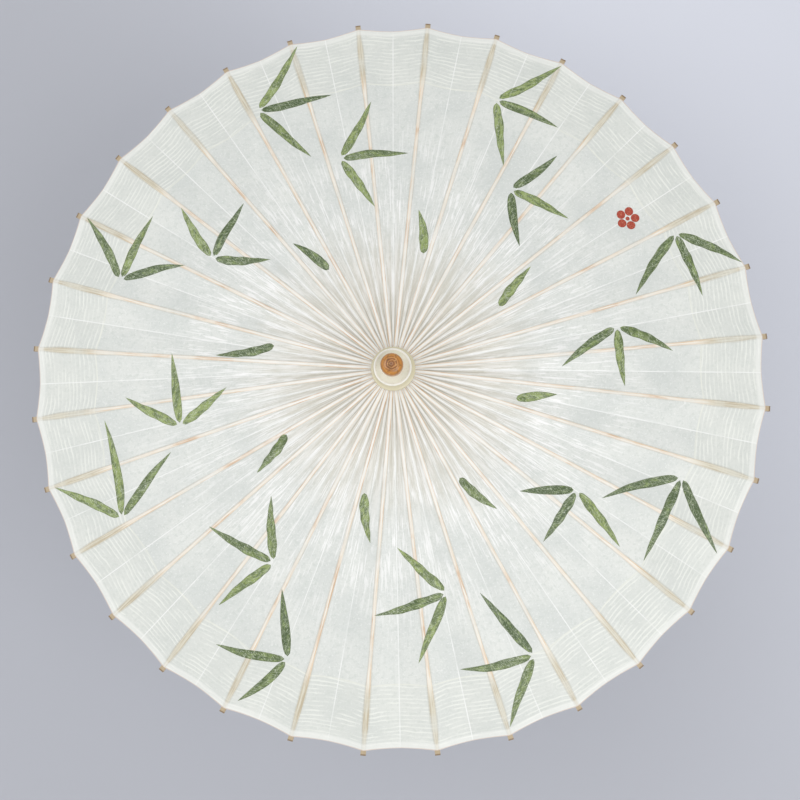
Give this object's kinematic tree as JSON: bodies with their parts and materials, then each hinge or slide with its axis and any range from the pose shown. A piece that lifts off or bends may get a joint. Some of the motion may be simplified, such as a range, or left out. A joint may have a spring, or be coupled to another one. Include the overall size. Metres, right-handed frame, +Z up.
{
  "type": "oil paper umbrella",
  "caption": "Open folding oil paper umbrella: bamboo ribs and stretchers hinged on thread, sliding runner with a latch, turned cap and knob, straight handle.",
  "frame": {"origin": "middle of the handle's end face, where the umbrella stands", "axes": "+Z up along the shaft from the handle to the knob; the first rib and the latch point along +X"},
  "size_m": [0.8508, 0.8508, 0.5921],
  "materials": {
    "bamboo_rib": "split bamboo, scraped smooth",
    "bamboo_stretcher": "split bamboo, scraped smooth",
    "bamboo_latch": "dark bamboo",
    "shaft_wood": "polished wood",
    "hub_wood": "turned and notched wood",
    "handle_wood": "dark polished wood",
    "knob_wood": "turned end grain, waxed",
    "cap_lacquer": "turned pale wood, clear lacquer",
    "thread": "waxed cotton thread",
    "oiled_paper": "translucent oiled cotton paper"
  },
  "bodies": {
    "frame": {"shaft": "shaft_wood", "upper_hub": "hub_wood", "hub_thread": "thread", "top_cap": "cap_lacquer", "finial_knob": "knob_wood", "handle_grip": "handle_wood", "handle_end": "handle_wood", "latch_pin": "bamboo_rib", "canopy": "oiled_paper"},
    "runner": {"runner": "hub_wood", "runner_thread": "thread"},
    "latch": {"latch": "bamboo_latch"},
    "rib_01": {"rib_01": "bamboo_rib"},
    "rib_02": {"rib_02": "bamboo_rib"},
    "rib_03": {"rib_03": "bamboo_rib"},
    "rib_04": {"rib_04": "bamboo_rib"},
    "rib_05": {"rib_05": "bamboo_rib"},
    "rib_06": {"rib_06": "bamboo_rib"},
    "rib_07": {"rib_07": "bamboo_rib"},
    "rib_08": {"rib_08": "bamboo_rib"},
    "rib_09": {"rib_09": "bamboo_rib"},
    "rib_10": {"rib_10": "bamboo_rib"},
    "rib_11": {"rib_11": "bamboo_rib"},
    "rib_12": {"rib_12": "bamboo_rib"},
    "rib_13": {"rib_13": "bamboo_rib"},
    "rib_14": {"rib_14": "bamboo_rib"},
    "rib_15": {"rib_15": "bamboo_rib"},
    "rib_16": {"rib_16": "bamboo_rib"},
    "rib_17": {"rib_17": "bamboo_rib"},
    "rib_18": {"rib_18": "bamboo_rib"},
    "rib_19": {"rib_19": "bamboo_rib"},
    "rib_20": {"rib_20": "bamboo_rib"},
    "rib_21": {"rib_21": "bamboo_rib"},
    "rib_22": {"rib_22": "bamboo_rib"},
    "rib_23": {"rib_23": "bamboo_rib"},
    "rib_24": {"rib_24": "bamboo_rib"},
    "rib_25": {"rib_25": "bamboo_rib"},
    "rib_26": {"rib_26": "bamboo_rib"},
    "rib_27": {"rib_27": "bamboo_rib"},
    "rib_28": {"rib_28": "bamboo_rib"},
    "rib_29": {"rib_29": "bamboo_rib"},
    "rib_30": {"rib_30": "bamboo_rib"},
    "rib_31": {"rib_31": "bamboo_rib"},
    "rib_32": {"rib_32": "bamboo_rib"},
    "stretchers_01_02": {"stretchers_01_02": "bamboo_stretcher"},
    "stretchers_03_04": {"stretchers_03_04": "bamboo_stretcher"},
    "stretchers_05_06": {"stretchers_05_06": "bamboo_stretcher"},
    "stretchers_07_08": {"stretchers_07_08": "bamboo_stretcher"},
    "stretchers_09_10": {"stretchers_09_10": "bamboo_stretcher"},
    "stretchers_11_12": {"stretchers_11_12": "bamboo_stretcher"},
    "stretchers_13_14": {"stretchers_13_14": "bamboo_stretcher"},
    "stretchers_15_16": {"stretchers_15_16": "bamboo_stretcher"},
    "stretchers_17_18": {"stretchers_17_18": "bamboo_stretcher"},
    "stretchers_19_20": {"stretchers_19_20": "bamboo_stretcher"},
    "stretchers_21_22": {"stretchers_21_22": "bamboo_stretcher"},
    "stretchers_23_24": {"stretchers_23_24": "bamboo_stretcher"},
    "stretchers_25_26": {"stretchers_25_26": "bamboo_stretcher"},
    "stretchers_27_28": {"stretchers_27_28": "bamboo_stretcher"},
    "stretchers_29_30": {"stretchers_29_30": "bamboo_stretcher"},
    "stretchers_31_32": {"stretchers_31_32": "bamboo_stretcher"}
  },
  "joints": [
    {"name": "runner_slide", "type": "slide", "parent": "frame", "child": "runner", "axis": [0, 0, -1], "range_m": [0, 0.31869], "deforming": ["canopy", "latch"]},
    {"name": "rib_01_hinge", "type": "hinge", "parent": "frame", "child": "rib_01", "pos_m": [0.02002, 0, 0.54546], "axis": [0, 1, 0], "range_deg": [0, 77.5]},
    {"name": "rib_02_hinge", "type": "hinge", "parent": "frame", "child": "rib_02", "pos_m": [0.01963, 0.00391, 0.54546], "axis": [-0.1951, 0.9808, 0], "range_deg": [0, 77.5]},
    {"name": "rib_03_hinge", "type": "hinge", "parent": "frame", "child": "rib_03", "pos_m": [0.01849, 0.00766, 0.54546], "axis": [-0.3827, 0.9239, 0], "range_deg": [0, 77.5]},
    {"name": "rib_04_hinge", "type": "hinge", "parent": "frame", "child": "rib_04", "pos_m": [0.01664, 0.01112, 0.54546], "axis": [-0.5556, 0.8315, 0], "range_deg": [0, 77.5]},
    {"name": "rib_05_hinge", "type": "hinge", "parent": "frame", "child": "rib_05", "pos_m": [0.01415, 0.01415, 0.54546], "axis": [-0.7071, 0.7071, 0], "range_deg": [0, 77.5]},
    {"name": "rib_06_hinge", "type": "hinge", "parent": "frame", "child": "rib_06", "pos_m": [0.01112, 0.01664, 0.54546], "axis": [-0.8315, 0.5556, 0], "range_deg": [0, 77.5]},
    {"name": "rib_07_hinge", "type": "hinge", "parent": "frame", "child": "rib_07", "pos_m": [0.00766, 0.01849, 0.54546], "axis": [-0.9239, 0.3827, 0], "range_deg": [0, 77.5]},
    {"name": "rib_08_hinge", "type": "hinge", "parent": "frame", "child": "rib_08", "pos_m": [0.00391, 0.01963, 0.54546], "axis": [-0.9808, 0.1951, 0], "range_deg": [0, 77.5]},
    {"name": "rib_09_hinge", "type": "hinge", "parent": "frame", "child": "rib_09", "pos_m": [0, 0.02002, 0.54546], "axis": [-1, 0, 0], "range_deg": [0, 77.5]},
    {"name": "rib_10_hinge", "type": "hinge", "parent": "frame", "child": "rib_10", "pos_m": [-0.00391, 0.01963, 0.54546], "axis": [-0.9808, -0.1951, 0], "range_deg": [0, 77.5]},
    {"name": "rib_11_hinge", "type": "hinge", "parent": "frame", "child": "rib_11", "pos_m": [-0.00766, 0.01849, 0.54546], "axis": [-0.9239, -0.3827, 0], "range_deg": [0, 77.5]},
    {"name": "rib_12_hinge", "type": "hinge", "parent": "frame", "child": "rib_12", "pos_m": [-0.01112, 0.01664, 0.54546], "axis": [-0.8315, -0.5556, 0], "range_deg": [0, 77.5]},
    {"name": "rib_13_hinge", "type": "hinge", "parent": "frame", "child": "rib_13", "pos_m": [-0.01415, 0.01415, 0.54546], "axis": [-0.7071, -0.7071, 0], "range_deg": [0, 77.5]},
    {"name": "rib_14_hinge", "type": "hinge", "parent": "frame", "child": "rib_14", "pos_m": [-0.01664, 0.01112, 0.54546], "axis": [-0.5556, -0.8315, 0], "range_deg": [0, 77.5]},
    {"name": "rib_15_hinge", "type": "hinge", "parent": "frame", "child": "rib_15", "pos_m": [-0.01849, 0.00766, 0.54546], "axis": [-0.3827, -0.9239, 0], "range_deg": [0, 77.5]},
    {"name": "rib_16_hinge", "type": "hinge", "parent": "frame", "child": "rib_16", "pos_m": [-0.01963, 0.00391, 0.54546], "axis": [-0.1951, -0.9808, 0], "range_deg": [0, 77.5]},
    {"name": "rib_17_hinge", "type": "hinge", "parent": "frame", "child": "rib_17", "pos_m": [-0.02002, 0, 0.54546], "axis": [0, -1, 0], "range_deg": [0, 77.5]},
    {"name": "rib_18_hinge", "type": "hinge", "parent": "frame", "child": "rib_18", "pos_m": [-0.01963, -0.00391, 0.54546], "axis": [0.1951, -0.9808, 0], "range_deg": [0, 77.5]},
    {"name": "rib_19_hinge", "type": "hinge", "parent": "frame", "child": "rib_19", "pos_m": [-0.01849, -0.00766, 0.54546], "axis": [0.3827, -0.9239, 0], "range_deg": [0, 77.5]},
    {"name": "rib_20_hinge", "type": "hinge", "parent": "frame", "child": "rib_20", "pos_m": [-0.01664, -0.01112, 0.54546], "axis": [0.5556, -0.8315, 0], "range_deg": [0, 77.5]},
    {"name": "rib_21_hinge", "type": "hinge", "parent": "frame", "child": "rib_21", "pos_m": [-0.01415, -0.01415, 0.54546], "axis": [0.7071, -0.7071, 0], "range_deg": [0, 77.5]},
    {"name": "rib_22_hinge", "type": "hinge", "parent": "frame", "child": "rib_22", "pos_m": [-0.01112, -0.01664, 0.54546], "axis": [0.8315, -0.5556, 0], "range_deg": [0, 77.5]},
    {"name": "rib_23_hinge", "type": "hinge", "parent": "frame", "child": "rib_23", "pos_m": [-0.00766, -0.01849, 0.54546], "axis": [0.9239, -0.3827, 0], "range_deg": [0, 77.5]},
    {"name": "rib_24_hinge", "type": "hinge", "parent": "frame", "child": "rib_24", "pos_m": [-0.00391, -0.01963, 0.54546], "axis": [0.9808, -0.1951, 0], "range_deg": [0, 77.5]},
    {"name": "rib_25_hinge", "type": "hinge", "parent": "frame", "child": "rib_25", "pos_m": [0, -0.02002, 0.54546], "axis": [1, 0, 0], "range_deg": [0, 77.5]},
    {"name": "rib_26_hinge", "type": "hinge", "parent": "frame", "child": "rib_26", "pos_m": [0.00391, -0.01963, 0.54546], "axis": [0.9808, 0.1951, 0], "range_deg": [0, 77.5]},
    {"name": "rib_27_hinge", "type": "hinge", "parent": "frame", "child": "rib_27", "pos_m": [0.00766, -0.01849, 0.54546], "axis": [0.9239, 0.3827, 0], "range_deg": [0, 77.5]},
    {"name": "rib_28_hinge", "type": "hinge", "parent": "frame", "child": "rib_28", "pos_m": [0.01112, -0.01664, 0.54546], "axis": [0.8315, 0.5556, 0], "range_deg": [0, 77.5]},
    {"name": "rib_29_hinge", "type": "hinge", "parent": "frame", "child": "rib_29", "pos_m": [0.01415, -0.01415, 0.54546], "axis": [0.7071, 0.7071, 0], "range_deg": [0, 77.5]},
    {"name": "rib_30_hinge", "type": "hinge", "parent": "frame", "child": "rib_30", "pos_m": [0.01664, -0.01112, 0.54546], "axis": [0.5556, 0.8315, 0], "range_deg": [0, 77.5]},
    {"name": "rib_31_hinge", "type": "hinge", "parent": "frame", "child": "rib_31", "pos_m": [0.01849, -0.00766, 0.54546], "axis": [0.3827, 0.9239, 0], "range_deg": [0, 77.5]},
    {"name": "rib_32_hinge", "type": "hinge", "parent": "frame", "child": "rib_32", "pos_m": [0.01963, -0.00391, 0.54546], "axis": [0.1951, 0.9808, 0], "range_deg": [0, 77.5]},
    {"name": "stretchers_01_02_hinge", "type": "hinge", "parent": "runner", "child": "stretchers_01_02", "pos_m": [0.01982, 0.00195, 0.47439], "axis": [0.098, -0.9952, 0], "range_deg": [0, 77.5], "deforming": ["stretchers_01_02"]},
    {"name": "stretchers_03_04_hinge", "type": "hinge", "parent": "runner", "child": "stretchers_03_04", "pos_m": [0.01757, 0.00939, 0.47439], "axis": [0.4714, -0.8819, 0], "range_deg": [0, 77.5], "deforming": ["stretchers_03_04"]},
    {"name": "stretchers_05_06_hinge", "type": "hinge", "parent": "runner", "child": "stretchers_05_06", "pos_m": [0.01264, 0.0154, 0.47439], "axis": [0.773, -0.6344, 0], "range_deg": [0, 77.5], "deforming": ["stretchers_05_06"]},
    {"name": "stretchers_07_08_hinge", "type": "hinge", "parent": "runner", "child": "stretchers_07_08", "pos_m": [0.00578, 0.01906, 0.47439], "axis": [0.9569, -0.2903, 0], "range_deg": [0, 77.5], "deforming": ["stretchers_07_08"]},
    {"name": "stretchers_09_10_hinge", "type": "hinge", "parent": "runner", "child": "stretchers_09_10", "pos_m": [-0.00195, 0.01982, 0.47439], "axis": [0.9952, 0.098, 0], "range_deg": [0, 77.5], "deforming": ["stretchers_09_10"]},
    {"name": "stretchers_11_12_hinge", "type": "hinge", "parent": "runner", "child": "stretchers_11_12", "pos_m": [-0.00939, 0.01757, 0.47439], "axis": [0.8819, 0.4714, 0], "range_deg": [0, 77.5], "deforming": ["stretchers_11_12"]},
    {"name": "stretchers_13_14_hinge", "type": "hinge", "parent": "runner", "child": "stretchers_13_14", "pos_m": [-0.0154, 0.01264, 0.47439], "axis": [0.6344, 0.773, 0], "range_deg": [0, 77.5], "deforming": ["stretchers_13_14"]},
    {"name": "stretchers_15_16_hinge", "type": "hinge", "parent": "runner", "child": "stretchers_15_16", "pos_m": [-0.01906, 0.00578, 0.47439], "axis": [0.2903, 0.9569, 0], "range_deg": [0, 77.5], "deforming": ["stretchers_15_16"]},
    {"name": "stretchers_17_18_hinge", "type": "hinge", "parent": "runner", "child": "stretchers_17_18", "pos_m": [-0.01982, -0.00195, 0.47439], "axis": [-0.098, 0.9952, 0], "range_deg": [0, 77.5], "deforming": ["stretchers_17_18"]},
    {"name": "stretchers_19_20_hinge", "type": "hinge", "parent": "runner", "child": "stretchers_19_20", "pos_m": [-0.01757, -0.00939, 0.47439], "axis": [-0.4714, 0.8819, 0], "range_deg": [0, 77.5], "deforming": ["stretchers_19_20"]},
    {"name": "stretchers_21_22_hinge", "type": "hinge", "parent": "runner", "child": "stretchers_21_22", "pos_m": [-0.01264, -0.0154, 0.47439], "axis": [-0.773, 0.6344, 0], "range_deg": [0, 77.5], "deforming": ["stretchers_21_22"]},
    {"name": "stretchers_23_24_hinge", "type": "hinge", "parent": "runner", "child": "stretchers_23_24", "pos_m": [-0.00578, -0.01906, 0.47439], "axis": [-0.9569, 0.2903, 0], "range_deg": [0, 77.5], "deforming": ["stretchers_23_24"]},
    {"name": "stretchers_25_26_hinge", "type": "hinge", "parent": "runner", "child": "stretchers_25_26", "pos_m": [0.00195, -0.01982, 0.47439], "axis": [-0.9952, -0.098, 0], "range_deg": [0, 77.5], "deforming": ["stretchers_25_26"]},
    {"name": "stretchers_27_28_hinge", "type": "hinge", "parent": "runner", "child": "stretchers_27_28", "pos_m": [0.00939, -0.01757, 0.47439], "axis": [-0.8819, -0.4714, 0], "range_deg": [0, 77.5], "deforming": ["stretchers_27_28"]},
    {"name": "stretchers_29_30_hinge", "type": "hinge", "parent": "runner", "child": "stretchers_29_30", "pos_m": [0.0154, -0.01264, 0.47439], "axis": [-0.6344, -0.773, 0], "range_deg": [0, 77.5], "deforming": ["stretchers_29_30"]},
    {"name": "stretchers_31_32_hinge", "type": "hinge", "parent": "runner", "child": "stretchers_31_32", "pos_m": [0.01906, -0.00578, 0.47439], "axis": [-0.2903, -0.9569, 0], "range_deg": [0, 77.5], "deforming": ["stretchers_31_32"]},
    {"name": "latch_press", "type": "hinge", "parent": "frame", "child": "latch", "pos_m": [0.004, 0, 0.40639], "axis": [0, -1, 0], "range_deg": [0, 5.5], "stiffness_Nm_per_rad": 0.6, "springref_deg": -5.73}
  ],
  "couplings": [
    {"joint": "rib_01_hinge", "follows": "runner_slide", "rad_per_m": 4.2443},
    {"joint": "rib_02_hinge", "follows": "runner_slide", "rad_per_m": 4.2443},
    {"joint": "rib_03_hinge", "follows": "runner_slide", "rad_per_m": 4.2443},
    {"joint": "rib_04_hinge", "follows": "runner_slide", "rad_per_m": 4.2443},
    {"joint": "rib_05_hinge", "follows": "runner_slide", "rad_per_m": 4.2443},
    {"joint": "rib_06_hinge", "follows": "runner_slide", "rad_per_m": 4.2443},
    {"joint": "rib_07_hinge", "follows": "runner_slide", "rad_per_m": 4.2443},
    {"joint": "rib_08_hinge", "follows": "runner_slide", "rad_per_m": 4.2443},
    {"joint": "rib_09_hinge", "follows": "runner_slide", "rad_per_m": 4.2443},
    {"joint": "rib_10_hinge", "follows": "runner_slide", "rad_per_m": 4.2443},
    {"joint": "rib_11_hinge", "follows": "runner_slide", "rad_per_m": 4.2443},
    {"joint": "rib_12_hinge", "follows": "runner_slide", "rad_per_m": 4.2443},
    {"joint": "rib_13_hinge", "follows": "runner_slide", "rad_per_m": 4.2443},
    {"joint": "rib_14_hinge", "follows": "runner_slide", "rad_per_m": 4.2443},
    {"joint": "rib_15_hinge", "follows": "runner_slide", "rad_per_m": 4.2443},
    {"joint": "rib_16_hinge", "follows": "runner_slide", "rad_per_m": 4.2443},
    {"joint": "rib_17_hinge", "follows": "runner_slide", "rad_per_m": 4.2443},
    {"joint": "rib_18_hinge", "follows": "runner_slide", "rad_per_m": 4.2443},
    {"joint": "rib_19_hinge", "follows": "runner_slide", "rad_per_m": 4.2443},
    {"joint": "rib_20_hinge", "follows": "runner_slide", "rad_per_m": 4.2443},
    {"joint": "rib_21_hinge", "follows": "runner_slide", "rad_per_m": 4.2443},
    {"joint": "rib_22_hinge", "follows": "runner_slide", "rad_per_m": 4.2443},
    {"joint": "rib_23_hinge", "follows": "runner_slide", "rad_per_m": 4.2443},
    {"joint": "rib_24_hinge", "follows": "runner_slide", "rad_per_m": 4.2443},
    {"joint": "rib_25_hinge", "follows": "runner_slide", "rad_per_m": 4.2443},
    {"joint": "rib_26_hinge", "follows": "runner_slide", "rad_per_m": 4.2443},
    {"joint": "rib_27_hinge", "follows": "runner_slide", "rad_per_m": 4.2443},
    {"joint": "rib_28_hinge", "follows": "runner_slide", "rad_per_m": 4.2443},
    {"joint": "rib_29_hinge", "follows": "runner_slide", "rad_per_m": 4.2443},
    {"joint": "rib_30_hinge", "follows": "runner_slide", "rad_per_m": 4.2443},
    {"joint": "rib_31_hinge", "follows": "runner_slide", "rad_per_m": 4.2443},
    {"joint": "rib_32_hinge", "follows": "runner_slide", "rad_per_m": 4.2443},
    {"joint": "stretchers_01_02_hinge", "follows": "runner_slide", "rad_per_m": 4.2443},
    {"joint": "stretchers_03_04_hinge", "follows": "runner_slide", "rad_per_m": 4.2443},
    {"joint": "stretchers_05_06_hinge", "follows": "runner_slide", "rad_per_m": 4.2443},
    {"joint": "stretchers_07_08_hinge", "follows": "runner_slide", "rad_per_m": 4.2443},
    {"joint": "stretchers_09_10_hinge", "follows": "runner_slide", "rad_per_m": 4.2443},
    {"joint": "stretchers_11_12_hinge", "follows": "runner_slide", "rad_per_m": 4.2443},
    {"joint": "stretchers_13_14_hinge", "follows": "runner_slide", "rad_per_m": 4.2443},
    {"joint": "stretchers_15_16_hinge", "follows": "runner_slide", "rad_per_m": 4.2443},
    {"joint": "stretchers_17_18_hinge", "follows": "runner_slide", "rad_per_m": 4.2443},
    {"joint": "stretchers_19_20_hinge", "follows": "runner_slide", "rad_per_m": 4.2443},
    {"joint": "stretchers_21_22_hinge", "follows": "runner_slide", "rad_per_m": 4.2443},
    {"joint": "stretchers_23_24_hinge", "follows": "runner_slide", "rad_per_m": 4.2443},
    {"joint": "stretchers_25_26_hinge", "follows": "runner_slide", "rad_per_m": 4.2443},
    {"joint": "stretchers_27_28_hinge", "follows": "runner_slide", "rad_per_m": 4.2443},
    {"joint": "stretchers_29_30_hinge", "follows": "runner_slide", "rad_per_m": 4.2443},
    {"joint": "stretchers_31_32_hinge", "follows": "runner_slide", "rad_per_m": 4.2443}
  ]
}
